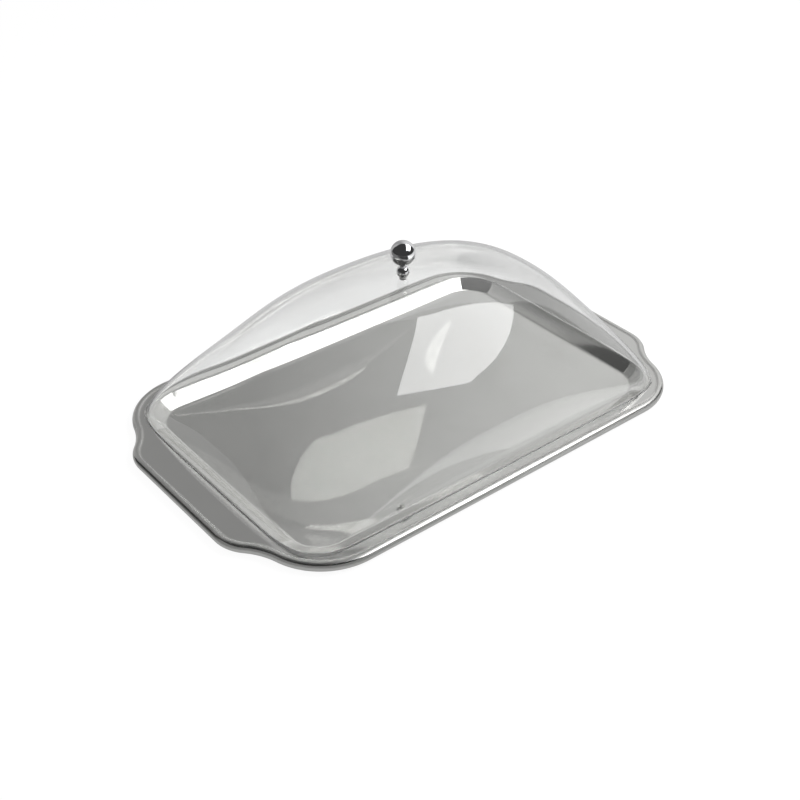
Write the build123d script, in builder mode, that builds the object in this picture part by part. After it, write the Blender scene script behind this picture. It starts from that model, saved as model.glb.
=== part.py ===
"""Covered serving tray: a pressed steel tray with two handle wings, and a clear domed cover with a ball knob.

The frame has +X along the tray, +Y across it and +Z up. The origin is the middle of the tray's underside.
"""

from build123d import *
from math import acos, atan2, degrees, hypot, radians, sin, sqrt, tan
import os

# Tray, outside sizes over the rolled edge
TRAY_LENGTH = 500.0
TRAY_WIDTH = 320.6
CORNER_RADIUS = 64.4
WING_REACH = 22.5
WING_WIDTH = 202.0
WING_CORNER_RADIUS = 39.0
SCOOP_RADIUS = 62.3

# Tray, sheet and section
SHEET = 0.8
WELL_DEPTH = 9.0
WALL_RUN = 15.2
MOUTH_BEND_RADIUS = 3.0
FLOOR_BEND_RADIUS = 8.0
EDGE_DIAMETER = 8.6
EDGE_RISE = 1.0
EDGE_HOLLOW_RADIUS = 7.0
CURL_ANGLE = 270.0

# Cover, with the flat flange left free between its foot and the rolled edge, and inside its foot
SIDE_LEDGE = 7.55
END_LEDGE = 2.85
INNER_LEDGE = 1.2
MOUTH_RADIUS = 43.0
COVER_HEIGHT = 126.6
COVER_WALL = 3.0
CROWN_WIDTH = 18.0

# Cover, curves of its two profiles: a higher flatness holds the width longer on the way up
END_FLATNESS = 3.12
END_ROUNDNESS = 1.257
SIDE_FLATNESS = 2.41
SIDE_ROUNDNESS = 1.617

# Cover, powers of its superellipse sections along X and Y: at the foot, at the crown, and how fast they fall
FOOT_POWER_X = 14.0
FOOT_POWER_Y = 6.2
CROWN_POWER = 2.356
POWER_FALL_X = 4.47
POWER_FALL_Y = 3.41
SECTION_COUNT = 12
CORNER_STEPS = 6

# Knob and its fixing
BALL_DIAMETER = 23.2
NECK_WALL = 1.8
NECK_LENGTH = 2.0
NECK_FLARE = 1.6
COLLAR_DIAMETER = 11.8
WASHER_DIAMETER = 6.6
WASHER_THICKNESS = 1.4
SCREW_DIAMETER = 3.0
SCREW_GRIP = 9.0
SCREW_HEAD_DIAMETER = 5.5
SCREW_HEAD_ANGLE = 90.0
SCREW_HEAD_SINK = 0.2
SCREW_SLOT_WIDTH = 0.8
SCREW_SLOT_DEPTH = 0.6
HOLE_CLEARANCE = 0.3
THREAD_CLEARANCE = 0.05

# The collar is a ball with flat ends as wide as the neck that stands on it
NECK_DIAMETER = SCREW_DIAMETER + 2 * NECK_WALL
COLLAR_HEIGHT = sqrt(COLLAR_DIAMETER**2 - NECK_DIAMETER**2)

# Heights that follow from the sizes above
FLANGE_TOP = SHEET + WELL_DEPTH
COVER_TOP = FLANGE_TOP + COVER_HEIGHT
CEILING = COVER_TOP - COVER_WALL
COLLAR_BASE = COVER_TOP + WASHER_THICKNESS
NECK_BASE = COLLAR_BASE + COLLAR_HEIGHT
BALL_CENTRE = NECK_BASE + NECK_LENGTH + BALL_DIAMETER / 2
SCREW_HEAD_BASE = CEILING + SCREW_HEAD_SINK
SCREW_END = NECK_BASE + SCREW_GRIP
HOLE_RADIUS = SCREW_DIAMETER / 2 + HOLE_CLEARANCE
THREAD_RADIUS = SCREW_DIAMETER / 2 + THREAD_CLEARANCE

# The screw's head is a cone, which sits in a sink of the same angle just below the ceiling's face
SCREW_HEAD_SLOPE = tan(radians(SCREW_HEAD_ANGLE / 2))
SCREW_HEAD_HEIGHT = (SCREW_HEAD_DIAMETER - SCREW_DIAMETER) / 2 / SCREW_HEAD_SLOPE
SINK_RADIUS = SCREW_HEAD_DIAMETER / 2 + SCREW_HEAD_SINK * SCREW_HEAD_SLOPE + THREAD_CLEARANCE

# The rolled edge rises from the flange in a hollow arc, then curls over and under in a larger turn
EDGE_MID_RADIUS = (EDGE_DIAMETER - SHEET) / 2
HOLLOW_MID_RADIUS = EDGE_HOLLOW_RADIUS + SHEET / 2
EDGE_TILT = degrees(acos(1 - EDGE_RISE / (EDGE_MID_RADIUS + HOLLOW_MID_RADIUS)))
EDGE_REACH = (EDGE_MID_RADIUS + HOLLOW_MID_RADIUS) * sin(radians(EDGE_TILT))
FLANGE_INSET = EDGE_DIAMETER / 2 + EDGE_REACH

# The cover's foot stands on the flat flange, inside the rolled edge
BODY_LENGTH = TRAY_LENGTH - 2 * WING_REACH
COVER_LENGTH = BODY_LENGTH - 2 * (FLANGE_INSET + END_LEDGE)
COVER_WIDTH = TRAY_WIDTH - 2 * (FLANGE_INSET + SIDE_LEDGE)

# The mouth of the well lies just inside the cover's foot
MOUTH_INSET = COVER_WALL + INNER_LEDGE
MOUTH_LENGTH = COVER_LENGTH - 2 * MOUTH_INSET
MOUTH_WIDTH = COVER_WIDTH - 2 * MOUTH_INSET

# The wall leaves the flange and the floor in bends, which take up this much of each flat
WALL_ANGLE = atan2(WELL_DEPTH, WALL_RUN)
MOUTH_BEND_REACH = MOUTH_BEND_RADIUS * tan(WALL_ANGLE / 2)
FLOOR_BEND_REACH = FLOOR_BEND_RADIUS * tan(WALL_ANGLE / 2)
WALL_SLOPE = hypot(WALL_RUN, WELL_DEPTH) - MOUTH_BEND_REACH - FLOOR_BEND_REACH
FLOOR_INSET = WALL_RUN + FLOOR_BEND_REACH

# The dome stops just short of its peak, at the level where it is as narrow as the crown
CROWN_LEVEL = (1 - (CROWN_WIDTH / COVER_WIDTH) ** SIDE_FLATNESS) ** (1 / SIDE_ROUNDNESS)


def outline_centres():
    """Centres of a body corner, of a wing corner, and of the hollow arc that joins them.

    The hollow arc touches both corners, so its centre lies one radius outside each of them.
    """
    corner_x = BODY_LENGTH / 2 - CORNER_RADIUS
    corner_y = TRAY_WIDTH / 2 - CORNER_RADIUS
    wing_x = TRAY_LENGTH / 2 - WING_CORNER_RADIUS
    wing_y = WING_WIDTH / 2 - WING_CORNER_RADIUS
    span_x = wing_x - corner_x
    span_y = wing_y - corner_y
    span = hypot(span_x, span_y)
    corner_arm = CORNER_RADIUS + SCOOP_RADIUS
    wing_arm = WING_CORNER_RADIUS + SCOOP_RADIUS
    along = (corner_arm**2 - wing_arm**2 + span**2) / (2 * span)
    aside = sqrt(corner_arm**2 - along**2)
    x = corner_x + (along * span_x - aside * span_y) / span
    y = corner_y + (along * span_y + aside * span_x) / span
    return (corner_x, corner_y), (wing_x, wing_y), (x, y)


def tray_outline(inset):
    """Draws the tray's outline, moved inwards by inset, into the line being built."""
    corner, wing, scoop = outline_centres()
    leave = degrees(atan2(scoop[1] - corner[1], scoop[0] - corner[0]))
    meet = degrees(atan2(scoop[1] - wing[1], scoop[0] - wing[0]))
    side = TRAY_WIDTH / 2 - inset
    end = TRAY_LENGTH / 2 - inset
    Line((0, side), (corner[0], side))
    CenterArc(corner, CORNER_RADIUS - inset, 90, leave - 90)
    CenterArc(scoop, SCOOP_RADIUS + inset, leave + 180, meet - leave)
    CenterArc(wing, WING_CORNER_RADIUS - inset, meet, -meet)
    Line((end, wing[1]), (end, 0))
    mirror(about=Plane.XZ)
    mirror(about=Plane.YZ)


def side_to_corner(power_along, power_across):
    """Steps from the middle of a side to the corner of a superellipse, as (along, across) shares of its size.

    The steps grow shorter towards the corner, where the curve turns most.
    """
    corner_share = 0.5 ** (1 / power_along)
    steps = []
    for step in range(CORNER_STEPS + 1):
        along = corner_share * sin(radians(90 * step / CORNER_STEPS))
        steps.append((along, (1 - along**power_along) ** (1 / power_across)))
    return steps


def cover_outline(level, inset):
    """Draws the cover's outline at a share of its height, moved inwards by inset, into the line being built.

    It is a superellipse, nearly a rectangle at the foot and nearly an ellipse at the crown. A quarter is one
    smooth curve, and the rest mirrors it. The top section is the small flat crown that carries the knob.
    """
    level *= CROWN_LEVEL
    half_length = (COVER_LENGTH / 2 - inset) * (1 - level**END_ROUNDNESS) ** (1 / END_FLATNESS)
    half_width = (COVER_WIDTH / 2 - inset) * (1 - level**SIDE_ROUNDNESS) ** (1 / SIDE_FLATNESS)
    power_x = CROWN_POWER + (FOOT_POWER_X - CROWN_POWER) * (1 - level) ** POWER_FALL_X
    power_y = CROWN_POWER + (FOOT_POWER_Y - CROWN_POWER) * (1 - level) ** POWER_FALL_Y
    end_points = [(half_length * x, half_width * y) for y, x in side_to_corner(power_y, power_x)]
    side_points = [(half_length * x, half_width * y) for x, y in side_to_corner(power_x, power_y)]
    Spline(*end_points, *side_points[-2::-1], tangents=((0, 1), (-1, 0)))
    mirror(about=Plane.YZ)
    mirror(about=Plane.XZ)


def save(piece, name):
    """Labels a finished piece and writes its file."""
    piece.label = name
    export_step(piece, f"parts/{name}.step")


os.makedirs("parts", exist_ok=True)

# Tray: floor, sloping wall, flange with wings, and the rolled edge, all one sheet
with BuildSketch(Plane.XY.offset(FLANGE_TOP)) as mouth:
    RectangleRounded(MOUTH_LENGTH, MOUTH_WIDTH, MOUTH_RADIUS)

with BuildLine(Plane.XY.offset(FLANGE_TOP)) as edge_path:
    tray_outline(EDGE_DIAMETER / 2)

with BuildPart() as tray:
    with BuildSketch():
        RectangleRounded(
            MOUTH_LENGTH - 2 * FLOOR_INSET, MOUTH_WIDTH - 2 * FLOOR_INSET, MOUTH_RADIUS - FLOOR_INSET
        )
    extrude(amount=SHEET)

    wall_plane = Plane(origin=(0, MOUTH_WIDTH / 2, FLANGE_TOP), x_dir=(0, 1, 0), z_dir=(1, 0, 0))
    with BuildSketch(wall_plane):
        with BuildLine():
            mouth_bend = JernArc(
                (MOUTH_BEND_REACH, -SHEET / 2), (-1, 0), MOUTH_BEND_RADIUS, degrees(WALL_ANGLE)
            )
            slope = PolarLine(mouth_bend @ 1, WALL_SLOPE, direction=mouth_bend % 1)
            JernArc(slope @ 1, slope % 1, FLOOR_BEND_RADIUS, -degrees(WALL_ANGLE))
        trace(line_width=SHEET)
    sweep(path=mouth.wire())

    with BuildSketch(Plane.XY.offset(FLANGE_TOP)):
        with BuildLine():
            tray_outline(FLANGE_INSET)
        make_face()
        RectangleRounded(
            MOUTH_LENGTH + 2 * MOUTH_BEND_REACH,
            MOUTH_WIDTH + 2 * MOUTH_BEND_REACH,
            MOUTH_RADIUS + MOUTH_BEND_REACH,
            mode=Mode.SUBTRACT,
        )
    extrude(amount=-SHEET)

    edge_plane = Plane(
        origin=(0, TRAY_WIDTH / 2 - EDGE_DIAMETER / 2, FLANGE_TOP), x_dir=(0, 1, 0), z_dir=(1, 0, 0)
    )
    with BuildSketch(edge_plane):
        with BuildLine():
            hollow = JernArc((-EDGE_REACH, -SHEET / 2), (1, 0), HOLLOW_MID_RADIUS, EDGE_TILT)
            JernArc(hollow @ 1, hollow % 1, EDGE_MID_RADIUS, -CURL_ANGLE)
        trace(line_width=SHEET)
    sweep(path=edge_path.wire())
save(tray.part, "tray")

# Cover: a clear dome of even wall, lofted through sections that lie closer together towards the crown
cover_levels = [1 - (1 - step / SECTION_COUNT) ** 2 for step in range(SECTION_COUNT + 1)]

with BuildPart() as cover:
    for level in cover_levels:
        with BuildSketch(Plane.XY.offset(FLANGE_TOP + level * COVER_HEIGHT)):
            with BuildLine():
                cover_outline(level, 0)
            make_face()
    loft()
    for level in cover_levels:
        with BuildSketch(Plane.XY.offset(FLANGE_TOP + level * (COVER_HEIGHT - COVER_WALL))):
            with BuildLine():
                cover_outline(level, COVER_WALL)
            make_face()
    loft(mode=Mode.SUBTRACT)
    with Locations(Plane(origin=(0, 0, CEILING), z_dir=(0, 0, -1))):
        CounterSinkHole(
            HOLE_RADIUS, SINK_RADIUS, depth=2 * COVER_WALL, counter_sink_angle=SCREW_HEAD_ANGLE
        )
save(cover.part, "cover")

# Knob: a mirror ball on a flared neck, over a smaller ball with flat ends
with BuildPart() as knob_ball:
    with Locations((0, 0, BALL_CENTRE)):
        Sphere(BALL_DIAMETER / 2)
    with BuildSketch(Plane.XY.offset(NECK_BASE)):
        Circle(NECK_DIAMETER / 2)
    extrude(amount=BALL_CENTRE - NECK_BASE)
    fillet(knob_ball.edges().filter_by(GeomType.CIRCLE).group_by(Axis.Z)[1], NECK_FLARE)
    with BuildSketch(Plane.XY.offset(NECK_BASE)):
        Circle(THREAD_RADIUS)
    extrude(amount=SCREW_END - NECK_BASE, mode=Mode.SUBTRACT)
save(knob_ball.part, "knob_ball")

with BuildPart() as knob_collar:
    with Locations((0, 0, COLLAR_BASE + COLLAR_HEIGHT / 2)):
        Sphere(COLLAR_DIAMETER / 2)
    split(bisect_by=Plane.XY.offset(COLLAR_BASE), keep=Keep.TOP)
    split(bisect_by=Plane.XY.offset(NECK_BASE), keep=Keep.BOTTOM)
    with Locations((0, 0, NECK_BASE)):
        Hole(HOLE_RADIUS)
save(knob_collar.part, "knob_collar")

# Washer that keeps the collar off the plastic
with BuildPart() as outer_washer:
    with BuildSketch(Plane.XY.offset(COVER_TOP)):
        Circle(WASHER_DIAMETER / 2)
        Circle(HOLE_RADIUS, mode=Mode.SUBTRACT)
    extrude(amount=WASHER_THICKNESS)
save(outer_washer.part, "outer_washer")

# Screw: a slotted countersunk head, flush in the cover's ceiling, and a shank up into the ball's neck
with BuildPart() as knob_screw:
    with BuildSketch(Plane.XY.offset(SCREW_HEAD_BASE)):
        Circle(SCREW_HEAD_DIAMETER / 2)
    with BuildSketch(Plane.XY.offset(SCREW_HEAD_BASE + SCREW_HEAD_HEIGHT)):
        Circle(SCREW_DIAMETER / 2)
    loft()
    with BuildSketch(Plane.XY.offset(SCREW_HEAD_BASE)):
        Rectangle(SCREW_HEAD_DIAMETER, SCREW_SLOT_WIDTH)
    extrude(amount=SCREW_SLOT_DEPTH, mode=Mode.SUBTRACT)
    with BuildSketch(Plane.XY.offset(SCREW_HEAD_BASE + SCREW_HEAD_HEIGHT)):
        Circle(SCREW_DIAMETER / 2)
    extrude(amount=SCREW_END - SCREW_HEAD_BASE - SCREW_HEAD_HEIGHT)
save(knob_screw.part, "knob_screw")
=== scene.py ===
# %% [markdown]
# # A covered serving tray
#
# A pressed steel tray carries a clear domed cover, which lifts off by a chromed ball knob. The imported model
# gives the real sizes and the two bodies that move. This lesson makes the smooth surfaces and the finishes,
# because steel, chrome and clear plastic show every facet in their reflections.

from math import acos, atan2, cos, hypot, pi, radians, sin, sqrt, tan

import bmesh
import bpy
from mathutils import Matrix, Vector


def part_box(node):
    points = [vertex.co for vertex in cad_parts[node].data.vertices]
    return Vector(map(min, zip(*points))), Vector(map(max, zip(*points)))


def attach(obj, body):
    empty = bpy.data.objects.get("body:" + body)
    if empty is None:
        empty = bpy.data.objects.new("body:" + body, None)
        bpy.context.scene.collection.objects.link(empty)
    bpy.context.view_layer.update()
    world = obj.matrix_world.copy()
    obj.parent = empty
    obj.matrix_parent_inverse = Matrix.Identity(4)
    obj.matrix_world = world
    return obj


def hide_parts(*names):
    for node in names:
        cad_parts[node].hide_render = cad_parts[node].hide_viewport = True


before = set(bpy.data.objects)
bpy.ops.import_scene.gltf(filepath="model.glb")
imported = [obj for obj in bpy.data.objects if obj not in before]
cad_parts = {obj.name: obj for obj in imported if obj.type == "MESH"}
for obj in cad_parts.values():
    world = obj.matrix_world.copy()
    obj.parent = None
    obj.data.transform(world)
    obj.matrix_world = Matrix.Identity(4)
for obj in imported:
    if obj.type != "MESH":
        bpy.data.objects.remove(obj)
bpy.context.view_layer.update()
print("nodes:", sorted(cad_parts))

# %% [markdown]
# ## The camera
#
# The camera comes first, so that every later piece can be looked at from the photograph's side. Its place
# and lens were found by fitting the tray's outline, and the picture is square.

# %% Camera
CAMERA_PLACE = (-0.64128, -0.79028, 0.72139)
CAMERA_ANGLE = 38.91
CAMERA_HEIGHT_ANGLE = 35.24
CAMERA_LENS_MM = 58.88

camera_data = bpy.data.cameras.new("camera")
camera_data.lens = CAMERA_LENS_MM
camera = bpy.data.objects.new("camera", camera_data)
camera.location = CAMERA_PLACE
camera.rotation_euler = (radians(90 - CAMERA_HEIGHT_ANGLE), 0, radians(-CAMERA_ANGLE))
bpy.context.scene.collection.objects.link(camera)
bpy.context.scene.camera = camera
print("camera at", tuple(camera.location))

# %% [markdown]
# ## Drawing with operators
#
# Pressed and turned pieces have one section that runs round a path. A section is drawn as a chain of
# points: a point is extruded for a straight stretch and spun about a centre for a round one. The chain is
# then extruded and spun along its path in the same way, so every round stretch is a true arc.

# %% Helpers for chains and pieces
X_AXIS = Vector((1, 0, 0))
Y_AXIS = Vector((0, 1, 0))
Z_AXIS = Vector((0, 0, 1))
MERGE_DISTANCE = 1e-6


def only(kind, things):
    """The things of one kind, such as vertices or edges, in an operator's result."""
    return [thing for thing in things if isinstance(thing, kind)]


def line_to(bm, point, place):
    """Extrudes one end point of a chain to a new place."""
    made = bmesh.ops.extrude_vert_indiv(bm, verts=[point])
    end = made["verts"][0]
    end.co = place
    return end


def arc_to(bm, point, centre, axis, angle, steps):
    """Spins one end point of a chain about a centre."""
    made = bmesh.ops.spin(bm, geom=[point], cent=centre, axis=axis, angle=angle, steps=steps)
    return only(bmesh.types.BMVert, made["geom_last"])[0]


def run_straight(bm, chain, offset):
    """Extrudes a chain of edges by an offset and gives the new chain."""
    made = bmesh.ops.extrude_edge_only(bm, edges=chain)["geom"]
    bmesh.ops.translate(bm, verts=only(bmesh.types.BMVert, made), vec=offset)
    return only(bmesh.types.BMEdge, made)


def run_round(bm, chain, centre, angle, steps):
    """Spins a chain of edges about an upright axis and gives the new chain."""
    points = list({point for edge in chain for point in edge.verts})
    made = bmesh.ops.spin(bm, geom=points + chain, cent=centre, axis=Z_AXIS, angle=angle, steps=steps)
    return only(bmesh.types.BMEdge, made["geom_last"])


def mirror_quarter(bm):
    """Completes a quarter of a piece by mirroring it across the two upright middle planes."""
    for axis in "XY":
        everything = bm.verts[:] + bm.edges[:] + bm.faces[:]
        bmesh.ops.mirror(bm, geom=everything, axis=axis, merge_dist=MERGE_DISTANCE)
    bmesh.ops.remove_doubles(bm, verts=bm.verts[:], dist=MERGE_DISTANCE)


def turn_round(bm, steps):
    """Spins a finished half section all the way round the knob's upright axis."""
    section = bm.verts[:] + bm.edges[:]
    bmesh.ops.spin(
        bm, geom=section, cent=(0, 0, 0), axis=Z_AXIS, angle=2 * pi, steps=steps, use_merge=True
    )
    bmesh.ops.remove_doubles(bm, verts=bm.verts[:], dist=MERGE_DISTANCE)
    bmesh.ops.recalc_face_normals(bm, faces=bm.faces[:])


def mark_creases(bm, angle):
    """Keeps the edges that turn more than an angle sharp, when the rest is shaded smooth."""
    for edge in bm.edges:
        if edge.calc_face_angle(0) > radians(angle):
            edge.smooth = False


def finish_piece(bm, name, material, slot, body, *nodes):
    """Makes a smooth piece of a bmesh, which stands for some nodes and moves with their body."""
    mesh = bpy.data.meshes.new(name)
    for face in bm.faces:
        face.smooth = True
    bm.to_mesh(mesh)
    bm.free()
    mesh.materials.append(material)
    piece = bpy.data.objects.new(name, mesh)
    bpy.context.scene.collection.objects.link(piece)
    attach(piece, body)
    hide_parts(*nodes)
    print(name, "has", len(mesh.polygons), "faces")
    return piece


# %% [markdown]
# ## Finishes
#
# The tray is bright stainless sheet, the cover is clear moulded plastic, and the knob is chromed. All three
# take their look from what they mirror, so their detail is in small marks: the grain that polishing leaves,
# fine scratches, the haze of handling, and the slow waves of a pressed sheet or a moulding. One node group
# makes these marks, and each finish gives it its own sizes and decides what the marks do.

# %% Helpers for materials
MIX_VECTORS = (4, 5)
MIX_VECTOR_RESULT = 1
MIX_COLOURS = (6, 7)
MIX_COLOUR_RESULT = 2


def new_material(name):
    """A material with its node tree, and the Principled BSDF in it."""
    material = bpy.data.materials.new(name)
    material.use_nodes = True
    return material, material.node_tree, material.node_tree.nodes["Principled BSDF"]


def set_or_link(tree, socket, value):
    """Gives a socket a plain value, or a link from another socket."""
    if isinstance(value, bpy.types.NodeSocket):
        tree.links.new(value, socket)
    else:
        socket.default_value = value


def reckon(tree, operation, *values):
    """A math node on numbers or sockets, and its result."""
    node = tree.nodes.new("ShaderNodeMath")
    node.operation = operation
    for socket, value in zip(node.inputs, values):
        set_or_link(tree, socket, value)
    return node.outputs[0]


def stretch_range(tree, socket, low, high):
    """Spreads a narrow range of a pattern over 0 to 1, with soft ends."""
    node = tree.nodes.new("ShaderNodeMapRange")
    node.interpolation_type = "SMOOTHSTEP"
    node.inputs["From Min"].default_value = low
    node.inputs["From Max"].default_value = high
    tree.links.new(socket, node.inputs["Value"])
    return node.outputs["Result"]


def cloud(tree, place, scale, detail):
    """A noise pattern at a place, as a number."""
    node = tree.nodes.new("ShaderNodeTexNoise")
    tree.links.new(place, node.inputs["Vector"])
    set_or_link(tree, node.inputs["Scale"], scale)
    node.inputs["Detail"].default_value = detail
    return node.outputs["Fac"]


# %% The group of marks
MARK_SIZES = {"Lines Along": 10.0, "Lines Across": 800.0, "Smudges": 20.0, "Waves": 10.0, "Turned": 0.0}
MARK_DETAILS = {"Grain": 4, "Scratch": 2, "Smudge": 6, "Wave": 1}
SCRATCH_TURN = 0.6
SCRATCH_SHARE = 0.35
SCRATCH_RANGE = (0.68, 0.76)
SMUDGE_RANGE = (0.42, 0.72)

surface_marks = bpy.data.node_groups.new("surface_marks", "ShaderNodeTree")
for socket_name, size in MARK_SIZES.items():
    socket = surface_marks.interface.new_socket(socket_name, in_out="INPUT", socket_type="NodeSocketFloat")
    socket.default_value = size
for socket_name in MARK_DETAILS:
    surface_marks.interface.new_socket(socket_name, in_out="OUTPUT", socket_type="NodeSocketFloat")
given = surface_marks.nodes.new("NodeGroupInput").outputs
result = surface_marks.nodes.new("NodeGroupOutput").inputs

object_place = surface_marks.nodes.new("ShaderNodeTexCoord").outputs["Object"]
axes = surface_marks.nodes.new("ShaderNodeSeparateXYZ")
surface_marks.links.new(object_place, axes.inputs[0])
squares = reckon(surface_marks, "MULTIPLY", axes.outputs["X"], axes.outputs["X"])
squares = reckon(surface_marks, "MULTIPLY_ADD", axes.outputs["Y"], axes.outputs["Y"], squares)
turned_place = surface_marks.nodes.new("ShaderNodeCombineXYZ")
surface_marks.links.new(reckon(surface_marks, "SQRT", squares), turned_place.inputs["Y"])
surface_marks.links.new(axes.outputs["Z"], turned_place.inputs["Z"])
mark_place = surface_marks.nodes.new("ShaderNodeMix")
mark_place.data_type = "VECTOR"
surface_marks.links.new(given["Turned"], mark_place.inputs[0])
for socket_number, place in zip(MIX_VECTORS, (object_place, turned_place.outputs[0])):
    surface_marks.links.new(place, mark_place.inputs[socket_number])

lines = surface_marks.nodes.new("ShaderNodeCombineXYZ")
for axis, socket_name in zip("XYZ", ("Lines Along", "Lines Across", "Lines Across")):
    surface_marks.links.new(given[socket_name], lines.inputs[axis])
line_place = surface_marks.nodes.new("ShaderNodeVectorMath")
line_place.operation = "MULTIPLY"
surface_marks.links.new(mark_place.outputs[MIX_VECTOR_RESULT], line_place.inputs[0])
surface_marks.links.new(lines.outputs[0], line_place.inputs[1])
grain = cloud(surface_marks, line_place.outputs[0], 1.0, MARK_DETAILS["Grain"])
surface_marks.links.new(grain, result["Grain"])

aslant = surface_marks.nodes.new("ShaderNodeMapping")
aslant.inputs["Rotation"].default_value[2] = SCRATCH_TURN
aslant.inputs["Scale"].default_value = (SCRATCH_SHARE, SCRATCH_SHARE, SCRATCH_SHARE)
surface_marks.links.new(line_place.outputs[0], aslant.inputs["Vector"])
scratches = cloud(surface_marks, aslant.outputs["Vector"], 1.0, MARK_DETAILS["Scratch"])
surface_marks.links.new(stretch_range(surface_marks, scratches, *SCRATCH_RANGE), result["Scratch"])

smudges = cloud(surface_marks, object_place, given["Smudges"], MARK_DETAILS["Smudge"])
surface_marks.links.new(stretch_range(surface_marks, smudges, *SMUDGE_RANGE), result["Smudge"])
waves = cloud(surface_marks, object_place, given["Waves"], MARK_DETAILS["Wave"])
surface_marks.links.new(waves, result["Wave"])
print("surface_marks has", len(surface_marks.nodes), "nodes")


# %% Helpers for finishes
def place_marks(tree, sizes):
    """Places the group of marks in a material with its own sizes, and gives its outputs."""
    marks = tree.nodes.new("ShaderNodeGroup")
    marks.node_tree = surface_marks
    for socket_name, size in {**MARK_SIZES, **sizes}.items():
        marks.inputs[socket_name].default_value = size
    return marks.outputs


def add_marks(tree, start, marks, weights):
    """A plain value with weighted marks added to it."""
    total = start
    for socket_name, weight in weights.items():
        total = reckon(tree, "MULTIPLY_ADD", marks[socket_name], weight, total)
    return total


def colour_by(tree, mask, clean, marked):
    """A colour that goes from clean to marked with a mask."""
    mix = tree.nodes.new("ShaderNodeMix")
    mix.data_type = "RGBA"
    tree.links.new(mask, mix.inputs[0])
    for socket_number, colour in zip(MIX_COLOURS, (clean, marked)):
        mix.inputs[socket_number].default_value = (*colour, 1)
    return mix.outputs[MIX_COLOUR_RESULT]


def raise_marks(tree, shader, height, distance):
    """Bends the surface's normal by a height of some metres."""
    bump = tree.nodes.new("ShaderNodeBump")
    bump.inputs["Distance"].default_value = distance
    tree.links.new(height, bump.inputs["Height"])
    tree.links.new(bump.outputs[0], shader.inputs["Normal"])


def marked_finish(name, sizes, colours, roughness, weights, relief, distance):
    """A finish whose colour, roughness and relief follow the marks."""
    material, tree, shader = new_material(name)
    marks = place_marks(tree, sizes)
    tree.links.new(colour_by(tree, marks["Smudge"], *colours), shader.inputs["Base Color"])
    tree.links.new(add_marks(tree, roughness, marks, weights), shader.inputs["Roughness"])
    raise_marks(tree, shader, add_marks(tree, 0.0, marks, relief), distance)
    return material, tree, shader


# %% [markdown]
# ## Bright steel
#
# The tray's faces are polished until they mirror, while its rolled edge looks a little duller. One material
# does both: the mesh carries a number that is 0 on the flat faces and 1 on the edge, and the roughness
# follows it. A second material would show a hard line between the two.

# %% Bright steel of the tray
RIM_ROUGHNESS = 0.34

tray_steel, tree, shader = marked_finish(
    "tray_steel",
    sizes={"Lines Along": 8.0, "Lines Across": 700.0, "Smudges": 16.0, "Waves": 12.0},
    colours=((0.62, 0.62, 0.605), (0.60, 0.60, 0.585)),
    roughness=0.02,
    weights={"Grain": 0.03, "Smudge": 0.02, "Scratch": 0.05},
    relief={"Wave": 1.0, "Grain": 0.012, "Scratch": -0.01},
    distance=0.00012,
)
shader.inputs["Metallic"].default_value = 1
rim = tree.nodes.new("ShaderNodeAttribute")
rim.attribute_name = "rim"
polished = shader.inputs["Roughness"].links[0].from_socket
scuffed = reckon(tree, "MULTIPLY_ADD", rim.outputs["Fac"], RIM_ROUGHNESS, polished)
tree.links.new(scuffed, shader.inputs["Roughness"])
print("tray_steel is duller by", RIM_ROUGHNESS, "on the rolled edge")

# %% [markdown]
# ## Chrome and plain steel
#
# The knob is turned, polished and chromed, and its screw is plain turned steel. Turning leaves rings, so
# the marks of both are measured by the distance from the upright axis instead of along the piece. The
# chrome's marks stay faint, because the ball has to mirror the room like a lens.

# %% Chrome of the knob and plain steel of its screw
knob_chrome, tree, shader = marked_finish(
    "knob_chrome",
    sizes={"Lines Along": 0.0, "Lines Across": 2600.0, "Smudges": 110.0, "Waves": 90.0, "Turned": 1.0},
    colours=((0.78, 0.78, 0.79), (0.75, 0.75, 0.76)),
    roughness=0.015,
    weights={"Grain": 0.02, "Smudge": 0.05},
    relief={"Wave": 1.0, "Grain": 0.01},
    distance=0.00001,
)
shader.inputs["Metallic"].default_value = 1

fixing_steel, tree, shader = marked_finish(
    "fixing_steel",
    sizes={"Lines Along": 0.0, "Lines Across": 5200.0, "Smudges": 300.0, "Waves": 200.0, "Turned": 1.0},
    colours=((0.60, 0.60, 0.60), (0.52, 0.52, 0.51)),
    roughness=0.14,
    weights={"Grain": 0.12, "Smudge": 0.08},
    relief={"Grain": 1.0, "Scratch": -0.5},
    distance=0.00003,
)
shader.inputs["Metallic"].default_value = 1
print("metals:", knob_chrome.name, fixing_steel.name)

# %% [markdown]
# ## Clear and cloudy plastic
#
# The cover is moulded clear plastic, so its shader lets all light through and bends it. It could be a thin
# see-through sheet without bending, but then the thick edge lines of the dome would be missing. The washer
# and the cover's cut foot are cloudy: they let a third of the light through and scatter the rest.

# %% Clear plastic of the cover and cloudy plastic of its washer
COVER_IOR = 1.49
WASHER_IOR = 1.45
WASHER_CLEARNESS = 0.3

clear_plastic, tree, shader = marked_finish(
    "clear_plastic",
    sizes={"Lines Along": 120.0, "Lines Across": 420.0, "Smudges": 14.0, "Waves": 9.0},
    colours=((0.972, 0.975, 0.972), (0.965, 0.967, 0.962)),
    roughness=0.0,
    weights={"Smudge": 0.004, "Scratch": 0.008},
    relief={"Wave": 1.0},
    distance=0.00006,
)
shader.inputs["Transmission Weight"].default_value = 1
shader.inputs["IOR"].default_value = COVER_IOR

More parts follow.
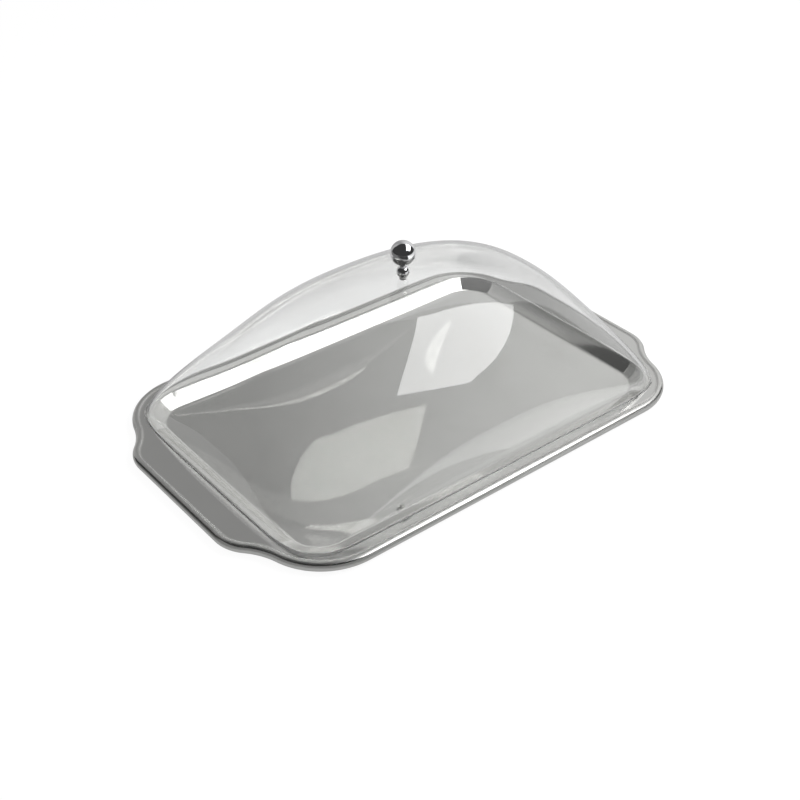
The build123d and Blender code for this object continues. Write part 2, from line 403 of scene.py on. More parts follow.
clear_washer, tree, shader = marked_finish(
    "clear_washer",
    sizes={"Lines Along": 900.0, "Lines Across": 900.0, "Smudges": 500.0, "Waves": 300.0},
    colours=((0.88, 0.88, 0.87), (0.82, 0.82, 0.80)),
    roughness=0.30,
    weights={"Grain": 0.10, "Smudge": 0.12},
    relief={"Grain": 1.0},
    distance=0.00002,
)
shader.inputs["Transmission Weight"].default_value = WASHER_CLEARNESS
shader.inputs["IOR"].default_value = WASHER_IOR
print("plastics:", clear_plastic.name, clear_washer.name)

# %% [markdown]
# ## The tray
#
# One sheet of steel is pressed into a shallow well, a flat flange and a rolled edge. The well's wall runs
# round a rounded rectangle and the rolled edge round the winged outline, so each is swept by itself. The
# flange between them is flat, and fills the space.

# %% Tray sizes
tray_low, tray_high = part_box("tray")
cover_low, cover_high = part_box("cover")
SHEET = 0.0008
HALF_LENGTH = tray_high.x
HALF_WIDTH = tray_high.y
FLANGE_TOP = cover_low.z
CORNER_RADIUS = 0.0644
WING_REACH = 0.0225
WING_HALF_WIDTH = 0.101
WING_CORNER_RADIUS = 0.039
SCOOP_RADIUS = 0.0623
WALL_RUN = 0.0152
MOUTH_BEND = 0.003
FLOOR_BEND = 0.008
EDGE_RADIUS = 0.0043
EDGE_HOLLOW = 0.007
CURL_ANGLE = radians(270)
COVER_WALL = 0.003
INNER_LEDGE = 0.0012
MOUTH_RADIUS = 0.043
FLAT_MARGIN = 0.0004
CORNER_STEPS = 28
print("flange at", round(FLANGE_TOP * 1000, 2), "mm")

# %% [markdown]
# ## The rolled edge
#
# The sheet's edge rises in a hollow arc and curls over and under, so that no raw edge meets the hand. The
# outline has three arcs and two straight runs in each quarter, and each flows into the next without a
# corner. A curve with a bevel could do the sweep, but spinning the section gives the exact radii of the
# packed tray.

# %% Section of the rolled edge, swept round the winged outline
HOLLOW_STEPS = 8
CURL_STEPS = 48
SCOOP_STEPS = 20
WING_STEPS = 24
RIM_FADE = 0.0006

edge_rise = tray_high.z - FLANGE_TOP
edge_tilt = acos(1 - edge_rise / (EDGE_RADIUS + EDGE_HOLLOW))
edge_reach = (EDGE_RADIUS + EDGE_HOLLOW) * sin(edge_tilt)
edge_middle = HALF_WIDTH - EDGE_RADIUS
hollow_start = Vector((0, edge_middle - edge_reach, FLANGE_TOP))

corner = Vector((HALF_LENGTH - WING_REACH - CORNER_RADIUS, HALF_WIDTH - CORNER_RADIUS, 0))
wing = Vector((HALF_LENGTH - WING_CORNER_RADIUS, WING_HALF_WIDTH - WING_CORNER_RADIUS, 0))
corner_arm = CORNER_RADIUS + SCOOP_RADIUS
wing_arm = WING_CORNER_RADIUS + SCOOP_RADIUS
span = wing - corner
along = (corner_arm**2 - wing_arm**2 + span.length**2) / (2 * span.length)
aside = sqrt(corner_arm**2 - along**2)
scoop = corner + span.normalized() * along + Z_AXIS.cross(span).normalized() * aside
leave_angle = atan2(scoop.y - corner.y, scoop.x - corner.x)
meet_angle = atan2(scoop.y - wing.y, scoop.x - wing.x)

tray_mesh = bmesh.new()
point = tray_mesh.verts.new(hollow_start - Y_AXIS * FLAT_MARGIN)
point = line_to(tray_mesh, point, hollow_start)
point = arc_to(tray_mesh, point, hollow_start + Z_AXIS * EDGE_HOLLOW, X_AXIS, edge_tilt, HOLLOW_STEPS)
edge_centre = Vector((0, edge_middle, tray_high.z - EDGE_RADIUS))
arc_to(tray_mesh, point, edge_centre, X_AXIS, -CURL_ANGLE, CURL_STEPS)

chain = run_straight(tray_mesh, tray_mesh.edges[:], X_AXIS * corner.x)
chain = run_round(tray_mesh, chain, corner, leave_angle - pi / 2, CORNER_STEPS)
chain = run_round(tray_mesh, chain, scoop, meet_angle - leave_angle, SCOOP_STEPS)
chain = run_round(tray_mesh, chain, wing, -meet_angle, WING_STEPS)
run_straight(tray_mesh, chain, -Y_AXIS * wing.y)
rim_layer = tray_mesh.verts.layers.float.new("rim")
for rim_point in tray_mesh.verts:
    rim_point[rim_layer] = min(1, abs(rim_point.co.z - FLANGE_TOP) / RIM_FADE)
print("rolled edge quarter:", len(tray_mesh.faces), "faces")

# %% [markdown]
# ## The wall of the well
#
# The wall slopes down from a tight bend at the mouth to a wider bend at the floor, as a press leaves it. It
# is swept in the same way as the edge, round a plain rounded rectangle.

# %% Section of the wall, swept round the mouth of the well
MOUTH_STEPS = 8
FLOOR_STEPS = 12

mouth_inset = COVER_WALL + INNER_LEDGE
corner_inset = mouth_inset + MOUTH_RADIUS
mouth_corner = Vector((cover_high.x - corner_inset, cover_high.y - corner_inset, 0))
well_depth = FLANGE_TOP - SHEET
wall_angle = atan2(well_depth, WALL_RUN)
mouth_reach = MOUTH_BEND * tan(wall_angle / 2)
floor_reach = FLOOR_BEND * tan(wall_angle / 2)
slope_length = hypot(WALL_RUN, well_depth) - mouth_reach - floor_reach
mouth_start = Vector((0, cover_high.y - mouth_inset + mouth_reach, FLANGE_TOP))
upper_bend = MOUTH_BEND + SHEET / 2
lower_bend = FLOOR_BEND - SHEET / 2

wall_mesh = bmesh.new()
point = wall_mesh.verts.new(mouth_start + Y_AXIS * FLAT_MARGIN)
point = line_to(wall_mesh, point, mouth_start)
point = arc_to(wall_mesh, point, mouth_start - Z_AXIS * upper_bend, X_AXIS, wall_angle, MOUTH_STEPS)
slope = Vector((0, -cos(wall_angle), -sin(wall_angle)))
point = line_to(wall_mesh, point, point.co + slope * slope_length)
bend_side = Vector((0, -sin(wall_angle), cos(wall_angle)))
point = arc_to(wall_mesh, point, point.co + bend_side * lower_bend, X_AXIS, -wall_angle, FLOOR_STEPS)
line_to(wall_mesh, point, point.co - Y_AXIS * FLAT_MARGIN)

chain = run_straight(wall_mesh, wall_mesh.edges[:], X_AXIS * mouth_corner.x)
chain = run_round(wall_mesh, chain, mouth_corner, -pi / 2, CORNER_STEPS)
run_straight(wall_mesh, chain, -Y_AXIS * mouth_corner.y)
print("wall quarter:", len(wall_mesh.faces), "faces")

# %% [markdown]
# ## Joining the sheet
#
# Both sweeps are mirrored to full rings. The flange and the floor are flat, so triangles between the rings
# are enough, and a flat face can't ripple in its reflections. The skin then gets the sheet's thickness.

# %% Joining the sheet
LEVEL_TOLERANCE = 1e-5

mirror_quarter(tray_mesh)
mirror_quarter(wall_mesh)
wall_part = bpy.data.meshes.new("wall_part")
wall_mesh.to_mesh(wall_part)
wall_mesh.free()
tray_mesh.from_mesh(wall_part)
bpy.data.meshes.remove(wall_part)


def open_edges(bm, height):
    """The open border edges of a mesh at a height."""
    return [
        edge
        for edge in bm.edges
        if edge.is_boundary and all(abs(end.co.z - height) < LEVEL_TOLERANCE for end in edge.verts)
    ]


bmesh.ops.triangle_fill(tray_mesh, use_beauty=True, edges=open_edges(tray_mesh, FLANGE_TOP), normal=Z_AXIS)
bmesh.ops.triangle_fill(tray_mesh, use_beauty=True, edges=open_edges(tray_mesh, SHEET), normal=Z_AXIS)
bmesh.ops.recalc_face_normals(tray_mesh, faces=tray_mesh.faces[:])
floor_face = min(tray_mesh.faces, key=lambda face: face.calc_center_median().length)
if floor_face.normal.z < 0:
    bmesh.ops.reverse_faces(tray_mesh, faces=tray_mesh.faces[:])
tray = finish_piece(tray_mesh, "tray_sheet", tray_steel, "tray_steel", "tray", "tray")
thickness = tray.modifiers.new("sheet", "SOLIDIFY")
thickness.thickness = SHEET
thickness.offset = -1
thickness.use_even_offset = True

# %% [markdown]
# ## The cover
#
# A clear dome of even wall. Its foot is nearly a rectangle and its crown is nearly an ellipse, and the
# sections between change smoothly, so that reflections flow over it without a kink. One ring is extruded up
# the outside, in to the knob's hole and down the inside, and each new ring takes the section's shape at its
# own height. The cut foot is cloudy and a hair above the flange. A clear foot traps the light and shows as
# a black line.

# %% Cover sizes
COVER_STEPS = 256
COVER_RINGS = 72
END_FLATNESS = 3.12
END_ROUNDNESS = 1.257
SIDE_FLATNESS = 2.41
SIDE_ROUNDNESS = 1.617
FOOT_POWER_X = 14.0
FOOT_POWER_Y = 6.2
CROWN_POWER = 2.356
POWER_FALL_X = 4.47
POWER_FALL_Y = 3.41
CROWN_WIDTH = 0.018
KNOB_HOLE = 0.0018
KNOB_SINK = 0.0030
FOOT_LIFT = 0.0001
CORNER_EASE = 0.35
SHARP_ANGLE = 40

cover_height = cover_high.z - cover_low.z
crown_level = (1 - (CROWN_WIDTH / (2 * cover_high.y)) ** SIDE_FLATNESS) ** (1 / SIDE_ROUNDNESS)
print("cover is", round(cover_height * 1000, 1), "mm high")


# %% Helpers for the cover's sections
def side_to_corner(share, power_along, power_across):
    """A point from the middle of a side to the corner of a superellipse, as shares of its two half sizes."""
    along = share * (1 + CORNER_EASE * (1 - share * share)) * 0.5 ** (1 / power_along)
    return along, (1 - along**power_along) ** (1 / power_across)


def section_point(turn, rise, inset):
    """A point of the cover's section at a share of its height, on the outside or inset by the wall.

    The turn counts quarters, from 0 at the middle of the right end to 1 at the middle of the back.
    """
    level = rise * crown_level
    half_length = (cover_high.x - inset) * (1 - level**END_ROUNDNESS) ** (1 / END_FLATNESS)
    half_width = (cover_high.y - inset) * (1 - level**SIDE_ROUNDNESS) ** (1 / SIDE_FLATNESS)
    power_x = CROWN_POWER + (FOOT_POWER_X - CROWN_POWER) * (1 - level) ** POWER_FALL_X
    power_y = CROWN_POWER + (FOOT_POWER_Y - CROWN_POWER) * (1 - level) ** POWER_FALL_Y
    quarter = int(turn)
    share = 1 - abs(1 - 2 * (turn - quarter))
    end_first = (turn - quarter < 0.5) == (quarter % 2 == 0)
    if end_first:
        y, x = side_to_corner(share, power_y, power_x)
    else:
        x, y = side_to_corner(share, power_x, power_y)
    side_x = 1 if quarter in (0, 3) else -1
    side_y = 1 if quarter in (0, 1) else -1
    height = cover_low.z + FOOT_LIFT + (cover_height - FOOT_LIFT - inset) * rise
    return Vector((side_x * half_length * x, side_y * half_width * y, height))


def ring_points(ring):
    """The points of a ring of edges."""
    return {point for edge in ring for point in edge.verts}


def next_ring(bm, ring, turns):
    """Extrudes a ring and gives its new edges. Each new point keeps the turn of the point it came from."""
    old_points = ring_points(ring)
    made = bmesh.ops.extrude_edge_only(bm, edges=ring)["geom"]
    for new_point in only(bmesh.types.BMVert, made):
        for edge in new_point.link_edges:
            partner = edge.other_vert(new_point)
            if partner in old_points:
                turns[new_point] = turns[partner]
    return only(bmesh.types.BMEdge, made)


def place_ring(ring, turns, rise, inset):
    """Moves a ring onto one section of the cover."""
    for ring_point in ring_points(ring):
        ring_point.co = section_point(turns[ring_point], rise, inset)


# %% Cover, ring after ring
rises = [1 - (1 - step / COVER_RINGS) ** 2 for step in range(COVER_RINGS + 1)]
cover_mesh = bmesh.new()
bmesh.ops.create_circle(cover_mesh, cap_ends=False, segments=COVER_STEPS, radius=1)
turns = {}
for start_point in cover_mesh.verts:
    turn = atan2(start_point.co.y, start_point.co.x) / (pi / 2)
    turns[start_point] = round(turn * COVER_STEPS / 4) % COVER_STEPS / (COVER_STEPS / 4)
foot_ring = cover_mesh.edges[:]
place_ring(foot_ring, turns, 0, 0)
ring = foot_ring
for rise in rises[1:]:
    ring = next_ring(cover_mesh, ring, turns)
    place_ring(ring, turns, rise, 0)
ceiling = cover_high.z - COVER_WALL
sink_top = ceiling + KNOB_SINK - KNOB_HOLE
for radius, height in ((KNOB_HOLE, cover_high.z), (KNOB_HOLE, sink_top), (KNOB_SINK, ceiling)):
    ring = next_ring(cover_mesh, ring, turns)
    for ring_point in ring_points(ring):
        angle = turns[ring_point] * pi / 2
        ring_point.co = (radius * cos(angle), radius * sin(angle), height)
for rise in reversed(rises):
    ring = next_ring(cover_mesh, ring, turns)
    place_ring(ring, turns, rise, COVER_WALL)
foot = bmesh.ops.bridge_loops(cover_mesh, edges=foot_ring + ring)
for foot_face in foot["faces"]:
    foot_face.material_index = 1
bmesh.ops.recalc_face_normals(cover_mesh, faces=cover_mesh.faces[:])
mark_creases(cover_mesh, SHARP_ANGLE)
cover = finish_piece(cover_mesh, "cover_shell", clear_plastic, "clear_cover", "cover", "cover")
cover.data.materials.append(clear_washer)

# %% [markdown]
# ## The knob
#
# A ball on a short neck stands on a smaller ball with flat ends. Both are turned, so half of each outline
# is drawn once and spun round.

# %% Ball and neck of the knob
KNOB_STEPS = 96
BALL_STEPS = 48
FLARE_STEPS = 10
NECK_RADIUS = 0.0033
NECK_FLARE = 0.0016

ball_low, ball_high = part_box("knob_ball")
ball_radius = ball_high.x
ball_centre = Vector((0, 0, ball_high.z - ball_radius))
flare_out = NECK_RADIUS + NECK_FLARE
flare_drop = sqrt((ball_radius + NECK_FLARE) ** 2 - flare_out**2)
flare_turn = atan2(flare_drop, flare_out)
flare_centre = ball_centre + X_AXIS * flare_out - Z_AXIS * flare_drop

ball_mesh = bmesh.new()
point = ball_mesh.verts.new((0, 0, ball_high.z))
point = arc_to(ball_mesh, point, ball_centre, Y_AXIS, pi / 2 + flare_turn, BALL_STEPS)
point = arc_to(ball_mesh, point, flare_centre, Y_AXIS, -flare_turn, FLARE_STEPS)
point = line_to(ball_mesh, point, (NECK_RADIUS, 0, ball_low.z))
line_to(ball_mesh, point, (0, 0, ball_low.z))
turn_round(ball_mesh, KNOB_STEPS)
mark_creases(ball_mesh, SHARP_ANGLE)
finish_piece(ball_mesh, "knob_ball_turned", knob_chrome, "knob_chrome", "cover", "knob_ball")

# %% Collar of the knob
COLLAR_STEPS = 32
COLLAR_SHARP_ANGLE = 30

collar_low, collar_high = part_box("knob_collar")
collar_radius = collar_high.x
collar_centre = Vector((0, 0, (collar_low.z + collar_high.z) / 2))
flat_half = (collar_high.z - collar_low.z) / 2
flat_angle = acos(flat_half / collar_radius)
flat_radius = collar_radius * sin(flat_angle)
collar_mesh = bmesh.new()
point = collar_mesh.verts.new((0, 0, collar_high.z))
point = line_to(collar_mesh, point, (flat_radius, 0, collar_high.z))
point = arc_to(collar_mesh, point, collar_centre, Y_AXIS, pi - 2 * flat_angle, COLLAR_STEPS)
line_to(collar_mesh, point, (0, 0, collar_low.z))
turn_round(collar_mesh, KNOB_STEPS)
mark_creases(collar_mesh, COLLAR_SHARP_ANGLE)
finish_piece(collar_mesh, "knob_collar_turned", knob_chrome, "knob_chrome", "cover", "knob_collar")

# %% [markdown]
# ## The small pieces
#
# The washer and the screw are nearly hidden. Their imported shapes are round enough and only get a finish.

# %% Finishes of the washer and the screw
for node, material in {"outer_washer": clear_washer, "knob_screw": fixing_steel}.items():
    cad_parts[node].data.materials.clear()
    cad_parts[node].data.materials.append(material)
    print(node, "gets", material.name)

# %% [markdown]
# ## The studio
#
# Bright metal and clear plastic show the room, so the room is built for its reflections. A white floor and
# a white world give the background. One softbox lights the cover, and cards that only reflections see give
# the steel its greys. The cover and the bright tray under it hand the same light on several times, and one
# card would show up in many places. Each card therefore asks how often its light went through clear plastic
# and how often it was mirrored, and glows only in the reflection that it is there for.

# %% Helpers for tones
THROUGH_TONE = 0.87
WALL_FACES = 2


def tone_along(tree, place, start, end):
    """A tone that runs evenly from one place to another. Each end is a place and its tone."""
    fade = tree.nodes.new("ShaderNodeMapRange")
    tree.links.new(place, fade.inputs["Value"])
    for end_name, (where, tone) in {"Min": start, "Max": end}.items():
        fade.inputs["From " + end_name].default_value = where
        set_or_link(tree, fade.inputs["To " + end_name], tone)
    return fade.outputs["Result"]


def pick(tree, switch, off, on):
    """One tone where a mask or a count is 0, and another where it is 1 or more."""
    return tone_along(tree, switch, (0, off), (1, on))


def light_path(tree, name):
    """One output of the node that knows how the light came to a surface."""
    return tree.nodes.new("ShaderNodeLightPath").outputs[name]


def under_cover(tree):
    """On for light that went in through a wall of the cover and out again."""
    return reckon(tree, "GREATER_THAN", light_path(tree, "Transmission Depth"), WALL_FACES)


def by_mirrorings(tree, once, often):
    """One tone for light that was mirrored once, and one for light that was mirrored more often."""
    return pick(tree, reckon(tree, "GREATER_THAN", light_path(tree, "Glossy Depth"), 1), once, often)


def white_when_direct(tree, white, tone):
    """White when seen directly, pale straight through the cover, and toned in reflections."""
    direct = pick(tree, light_path(tree, "Transmission Depth"), white, THROUGH_TONE)
    return pick(tree, light_path(tree, "Glossy Depth"), direct, tone)


def seen_mask(tree):
    """On for the camera, reflections and what clear material lets through, and off for other light."""
    seen = light_path(tree, "Is Camera Ray")
    for name in ("Is Glossy Ray", "Is Transmission Ray"):
        seen = reckon(tree, "MAXIMUM", seen, light_path(tree, name))
    return seen


def own_axes(tree):
    """A card's own coordinates, as outputs X, Y and Z."""
    coordinates = tree.nodes.new("ShaderNodeTexCoord")
    axes = tree.nodes.new("ShaderNodeSeparateXYZ")
    tree.links.new(coordinates.outputs["Object"], axes.inputs[0])
    return axes.outputs


# %% Helpers for the floor and the cards
def glow_material(name):
    """A material that only glows. Reflected rays find it, and it isn't sampled as a lamp."""
    material = bpy.data.materials.new(name)
    material.use_nodes = True
    material.cycles.emission_sampling = "NONE"
    tree = material.node_tree
    tree.nodes.remove(tree.nodes["Principled BSDF"])
    glow = tree.nodes.new("ShaderNodeEmission")
    tree.links.new(glow.outputs[0], tree.nodes["Material Output"].inputs["Surface"])
    return material, tree, glow


def keep_where(tree, glow, mask):
    """Takes a card away, except for the light that a mask keeps."""
    mix = tree.nodes.new("ShaderNodeMixShader")
    tree.links.new(mask, mix.inputs[0])
    tree.links.new(tree.nodes.new("ShaderNodeBsdfTransparent").outputs[0], mix.inputs[1])
    tree.links.new(glow.outputs[0], mix.inputs[2])
    tree.links.new(mix.outputs[0], tree.nodes["Material Output"].inputs["Surface"])


def add_card(bm, low, high):
    """Adds a flat card to a mesh, between two corners at one height."""
    points = bmesh.ops.create_grid(bm, x_segments=1, y_segments=1, size=0.5)["verts"]
    bmesh.ops.scale(bm, verts=points, vec=(*(high - low).xy, 1))
    bmesh.ops.translate(bm, verts=points, vec=(low + high) / 2)


def stage_object(name, bm, material):
    """A floor or card of the studio, which isn't part of the object."""
    mesh = bpy.data.meshes.new(name)
    bm.to_mesh(mesh)
    bm.free()
    mesh.materials.append(material)
    thing = bpy.data.objects.new(name, mesh)
    bpy.context.scene.collection.objects.link(thing)
    return thing


def stage_card(name, bm, material):
    """A card that only reflections see. It is hidden from the camera and from the light on the floor."""
    card = stage_object(name, bm, material)
    card.visible_camera = False
    card.visible_diffuse = False
    card.visible_shadow = False
    card.visible_volume_scatter = False
    print(name, "is hidden from the camera")
    return card


# %% [markdown]
# ## Floor and background
#
# The background is plain white. A floor bright enough to be white by lamplight would wash out the object,
# so the floor and the world glow white only where they are seen, and give off less for everything else. The
# floor's own colour is low, and still shows the soft shadow under the tray's edge.

# %% White world and floor
SKY_STRENGTH = 0.6
FLOOR_SIZE = 40.0
FLOOR_GLOW = 0.92
FLOOR_COLOUR = 0.12
FLOOR_MIRRORED = 0.5

world = bpy.data.worlds.new("studio")
bpy.context.scene.world = world
bpy.context.scene.view_settings.view_transform = "Standard"
world.use_nodes = True
tree = world.node_tree
background = tree.nodes["Background"]
background.inputs["Color"].default_value = (1, 1, 1, 1)
tree.links.new(pick(tree, seen_mask(tree), SKY_STRENGTH, 1), background.inputs["Strength"])

half_floor = (X_AXIS + Y_AXIS) * FLOOR_SIZE / 2
floor_mesh = bmesh.new()
add_card(floor_mesh, -half_floor, half_floor)
floor_white, tree, shader = new_material("floor_white")
shader.inputs["Base Color"].default_value = (FLOOR_COLOUR, FLOOR_COLOUR, FLOOR_COLOUR, 1)
shader.inputs["Roughness"].default_value = 1
shader.inputs["Specular IOR Level"].default_value = 0
shader.inputs["Emission Color"].default_value = (1, 1, 1, 1)
floor_tone = white_when_direct(tree, FLOOR_GLOW, FLOOR_MIRRORED)
floor_tone = reckon(tree, "MULTIPLY", seen_mask(tree), floor_tone)
tree.links.new(floor_tone, shader.inputs["Emission Strength"])
stage_object("floor", floor_mesh, floor_white)
print("floor of", FLOOR_SIZE, "m")

# %% [markdown]
# ## Softbox
#
# The two pale patches over the tray are reflections of one softbox. The cover's near side mirrors it once,
# which gives the bright patch. Light that runs to and fro between the cover and the tray gives the dim one.
# It needs a brighter and longer card, because each mirroring takes light away. The lamp itself lights the
# floor, and no surface mirrors it.

# %% Softbox, a lamp with a glowing card
SOFTBOX_PLACE = Vector((0.471, -0.331, 0.730))
SOFTBOX_SIDE = Vector((0.871, -0.439, -0.220))
SOFTBOX_FACING = Vector((-0.110, 0.263, -0.959))
SOFTBOX_SIZE = (0.570, 0.801)
SOFTBOX_RADIANCE = 4.0
SOFTBOX_TWICE = 0.5
SOFTBOX_MIRRORINGS = 2
POWER_PER_RADIANCE = 4

softbox_up = (-SOFTBOX_FACING).cross(SOFTBOX_SIDE)
softbox_turn = Matrix((SOFTBOX_SIDE, softbox_up, -SOFTBOX_FACING)).transposed().to_euler()

lamp_data = bpy.data.lights.new("softbox_lamp", "AREA")
lamp_data.shape = "RECTANGLE"
lamp_data.size, lamp_data.size_y = SOFTBOX_SIZE
lamp_data.energy = POWER_PER_RADIANCE * SOFTBOX_RADIANCE * SOFTBOX_SIZE[0] * SOFTBOX_SIZE[1]
lamp = bpy.data.objects.new("softbox_lamp", lamp_data)
lamp.rotation_euler = softbox_turn
lamp.location = SOFTBOX_PLACE
lamp.visible_camera = False
lamp.visible_glossy = False
lamp.visible_transmission = False
bpy.context.scene.collection.objects.link(lamp)

half_softbox = Vector((*SOFTBOX_SIZE, 0)) / 2
softbox_mesh = bmesh.new()
add_card(softbox_mesh, -half_softbox, half_softbox)
softbox_white, tree, glow = glow_material("softbox_white")
tree.links.new(by_mirrorings(tree, SOFTBOX_RADIANCE, SOFTBOX_TWICE), glow.inputs["Strength"])
keep_where(tree, glow, reckon(tree, "LESS_THAN", light_path(tree, "Glossy Depth"), SOFTBOX_MIRRORINGS + 1))
softbox = stage_card("softbox", softbox_mesh, softbox_white)
softbox.rotation_euler = softbox_turn
softbox.location = SOFTBOX_PLACE

# %% Longer card of the softbox, for the dim patch
DEEP_CARD_LOW = Vector((-0.285, -0.240, 0))
DEEP_CARD_HIGH = Vector((0.285, 0.62, 0))
DEEP_CARD_GAP = 0.001
DEEP_CARD_RADIANCE = 7.5

deep_mesh = bmesh.new()
add_card(deep_mesh, DEEP_CARD_LOW, DEEP_CARD_HIGH)
deep_white, tree, glow = glow_material("deep_card_white")
glow.inputs["Strength"].default_value = DEEP_CARD_RADIANCE
keep_where(tree, glow, reckon(tree, "GREATER_THAN", light_path(tree, "Glossy Depth"), SOFTBOX_MIRRORINGS))
deep_card = stage_card("deep_card", deep_mesh, deep_white)
deep_card.rotation_euler = softbox_turn
deep_card.location = SOFTBOX_PLACE - SOFTBOX_FACING * DEEP_CARD_GAP

# %% [markdown]
# ## Backdrop, fill and back card
#
# From the camera, the tray's flat faces mirror what stands behind it. A backdrop there is darker on the
# left than on the right, and the steel takes on the same slow change. The well's back wall slopes towards
# the camera and mirrors a strip overhead, and the flange behind it mirrors a low card close by.

# %% Backdrop
BACKDROP_ANGLE = 39.0
BACKDROP_DISTANCE = 1.1
BACKDROP_LEFT = -2.2
BACKDROP_RIGHT = 1.45
BACKDROP_HEIGHT = 2.24
BACKDROP_LEFT_TONE = (-0.30, 0.48)
BACKDROP_RIGHT_TONE = (0.36, 1.03)
BACKDROP_FAR_TONES = ((-0.95, 0.62), (-0.80, 0.30))
BACKDROP_BARE = 0.77
BACKDROP_BEHIND = 0.53
BACKDROP_TWICE = 1.4

backdrop_low = Vector((BACKDROP_LEFT, -BACKDROP_HEIGHT / 2, 0))
backdrop_high = Vector((BACKDROP_RIGHT, BACKDROP_HEIGHT / 2, 0))
backdrop_mesh = bmesh.new()
add_card(backdrop_mesh, backdrop_low, backdrop_high)
backdrop_glow, tree, glow = glow_material("backdrop_glow")
backdrop_along = own_axes(tree)["X"]
near_tone = tone_along(tree, backdrop_along, BACKDROP_LEFT_TONE, BACKDROP_RIGHT_TONE)
far_tone = tone_along(tree, backdrop_along, *BACKDROP_FAR_TONES)
backdrop_tone = reckon(tree, "MAXIMUM", near_tone, far_tone)
bare_share = pick(tree, light_path(tree, "Transmission Depth"), BACKDROP_BARE, BACKDROP_BEHIND)
bare_share = pick(tree, light_path(tree, "Is Transmission Ray"), bare_share, 1)
for share in (bare_share, by_mirrorings(tree, 1, BACKDROP_TWICE)):
    backdrop_tone = reckon(tree, "MULTIPLY", backdrop_tone, share)
tree.links.new(white_when_direct(tree, 1, backdrop_tone), glow.inputs["Strength"])
backdrop = stage_card("backdrop", backdrop_mesh, backdrop_glow)
backdrop.rotation_euler = (radians(90), 0, radians(-BACKDROP_ANGLE))
backdrop.location = (
    BACKDROP_DISTANCE * sin(radians(BACKDROP_ANGLE)),
    BACKDROP_DISTANCE * cos(radians(BACKDROP_ANGLE)),
    BACKDROP_HEIGHT / 2,
)

# %% Fill strip overhead, which only the tray under the cover mirrors
FILL_LOW = Vector((0.57, -0.45, 1.8))
FILL_HIGH = Vector((1.75, 0.53, 1.8))
FILL_RADIANCE = 3.0
FILL_TWICE = 0.7

fill_mesh = bmesh.new()
add_card(fill_mesh, FILL_LOW, FILL_HIGH)
fill_white, tree, glow = glow_material("fill_white")
fill_tone = reckon(tree, "MULTIPLY", by_mirrorings(tree, FILL_RADIANCE, FILL_TWICE), under_cover(tree))
tree.links.new(fill_tone, glow.inputs["Strength"])
fill = stage_card("fill", fill_mesh, fill_white)
fill.visible_glossy = False

# %% Low card behind the tray, which its back flange mirrors
BACK_CARD_LOW = Vector((-0.35, 0.0005, 0))
BACK_CARD_HIGH = Vector((0.45, 0.098, 0))
BACK_CARD_DISTANCE = 0.25
BACK_CARD_TONE = 0.95

back_mesh = bmesh.new()
add_card(back_mesh, BACK_CARD_LOW, BACK_CARD_HIGH)
back_white, tree, glow = glow_material("back_card_white")
glow.inputs["Strength"].default_value = BACK_CARD_TONE
mirrored_once = reckon(tree, "LESS_THAN", light_path(tree, "Glossy Depth"), 2)
keep_where(tree, glow, reckon(tree, "MULTIPLY", under_cover(tree), mirrored_once))
back_card = stage_card("back_card", back_mesh, back_white)
back_card.rotation_euler = (radians(90), 0, 0)
back_card.location = Y_AXIS * BACK_CARD_DISTANCE

# %% [markdown]
# ## Tent and front cards
#
# The knob and the rolled edge are round and mirror the whole room, and their dark parts are the room in
# front. A large dark tent stands for it. Seen from behind, the flat tray would mirror that dark front too
# and look black, so the front is paler for the tray: in the tent itself for light from under the cover, and
# in a faint shell for the bare tray. Light linking shows that shell to the tray alone, so the ball keeps
# its dark core.

# %% Dark tent
TENT_RADIUS = 6.0
TENT_STEPS = 48
TENT_TONE = 0.05
TENT_TONE_THROUGH = 0.115
TENT_TONE_FRONT = 0.45
TENT_FRONT_FADE = (0.0, -2.0)
TENT_TOP_FADE = (4.2, 3.4)


def tent_shell(radius):
    """A ball round the whole studio."""
    bm = bmesh.new()
    bmesh.ops.create_uvsphere(bm, u_segments=TENT_STEPS, v_segments=TENT_STEPS // 2, radius=radius)
    return bm


def front_of_tent(tree):
    """How far a place of the tent lies in front of the tray or left of it, and low."""
    axes = own_axes(tree)
    left_front = reckon(tree, "MINIMUM", reckon(tree, "ADD", axes["X"], axes["Y"]), axes["Y"])
    front_share = tone_along(tree, left_front, (TENT_FRONT_FADE[0], 0), (TENT_FRONT_FADE[1], 1))
    low_share = tone_along(tree, axes["Z"], (TENT_TOP_FADE[0], 0), (TENT_TOP_FADE[1], 1))
    return reckon(tree, "MULTIPLY", front_share, low_share)


tent_dark, tree, glow = glow_material("tent_dark")
pale_share = reckon(tree, "MULTIPLY", front_of_tent(tree), under_cover(tree))
through_tone = pick(tree, pale_share, TENT_TONE_THROUGH, TENT_TONE_FRONT)
tent_tone = pick(tree, light_path(tree, "Transmission Depth"), TENT_TONE, through_tone)
tree.links.new(white_when_direct(tree, 1, tent_tone), glow.inputs["Strength"])
stage_card("tent", tent_shell(TENT_RADIUS), tent_dark)

# %% Faint shell in front, which only the bare tray mirrors
BARE_GLOW_RADIUS = 5.9
BARE_GLOW_TONE = 0.28

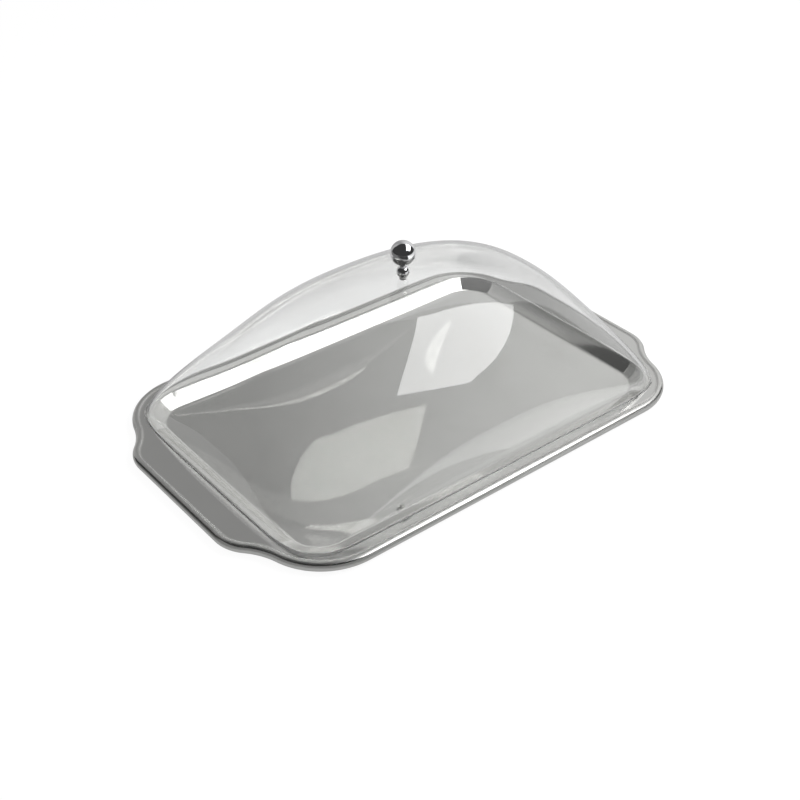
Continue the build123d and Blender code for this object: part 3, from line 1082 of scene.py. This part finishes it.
bare_glow, tree, glow = glow_material("bare_glow")
bare_tone = reckon(tree, "MULTIPLY", front_of_tent(tree), BARE_GLOW_TONE)
not_through = reckon(tree, "LESS_THAN", light_path(tree, "Transmission Depth"), 1)
mirrored = reckon(tree, "GREATER_THAN", light_path(tree, "Glossy Depth"), 0)
for mask in (not_through, mirrored):
    bare_tone = reckon(tree, "MULTIPLY", bare_tone, mask)
tree.links.new(bare_tone, glow.inputs["Strength"])
clear_and_glow = tree.nodes.new("ShaderNodeAddShader")
tree.links.new(glow.outputs[0], clear_and_glow.inputs[0])
tree.links.new(tree.nodes.new("ShaderNodeBsdfTransparent").outputs[0], clear_and_glow.inputs[1])
tree.links.new(clear_and_glow.outputs[0], tree.nodes["Material Output"].inputs["Surface"])
bare_shell = stage_card("bare_glow", tent_shell(BARE_GLOW_RADIUS), bare_glow)
tray_alone = bpy.data.collections.new("tray_alone")
tray_alone.objects.link(tray)
bare_shell.light_linking.receiver_collection = tray_alone

# %% Cards on the floor in front, dark on the left and bright on the right
FRONT_CARD_TONES = ((-0.25, 0.06), (-0.15, 0.20))
FRONT_CARD_GAP = 0.04
FRONT_CARD_SIZE = 4.0
FRONT_LIGHT_LEFT = 0.05
FRONT_LIGHT_TONES = ((0.15, 1.35), (0.7, 0.85))
CARD_HEIGHT = 0.0004

square = (X_AXIS + Y_AXIS) * FRONT_CARD_SIZE
front_edge = tray_low.y - FRONT_CARD_GAP
left_edge = tray_low.x - FRONT_CARD_GAP
left_start = left_edge - FRONT_CARD_SIZE
front_start = front_edge - FRONT_CARD_SIZE
dark_mesh = bmesh.new()
for corner_x, corner_y in ((left_edge, front_start), (left_start, front_edge), (left_start, front_start)):
    dark_low = Vector((corner_x, corner_y, CARD_HEIGHT))
    add_card(dark_mesh, dark_low, dark_low + square)
card_dark, tree, glow = glow_material("front_card_dark")
tree.links.new(tone_along(tree, own_axes(tree)["Y"], *FRONT_CARD_TONES), glow.inputs["Strength"])
front_card = stage_card("front_card", dark_mesh, card_dark)
front_card.visible_transmission = False

light_low = Vector((FRONT_LIGHT_LEFT, front_start, 2 * CARD_HEIGHT))
light_mesh = bmesh.new()
add_card(light_mesh, light_low, light_low + square)
light_white, tree, glow = glow_material("front_light_white")
tree.links.new(tone_along(tree, own_axes(tree)["X"], *FRONT_LIGHT_TONES), glow.inputs["Strength"])
stage_card("front_light", light_mesh, light_white)
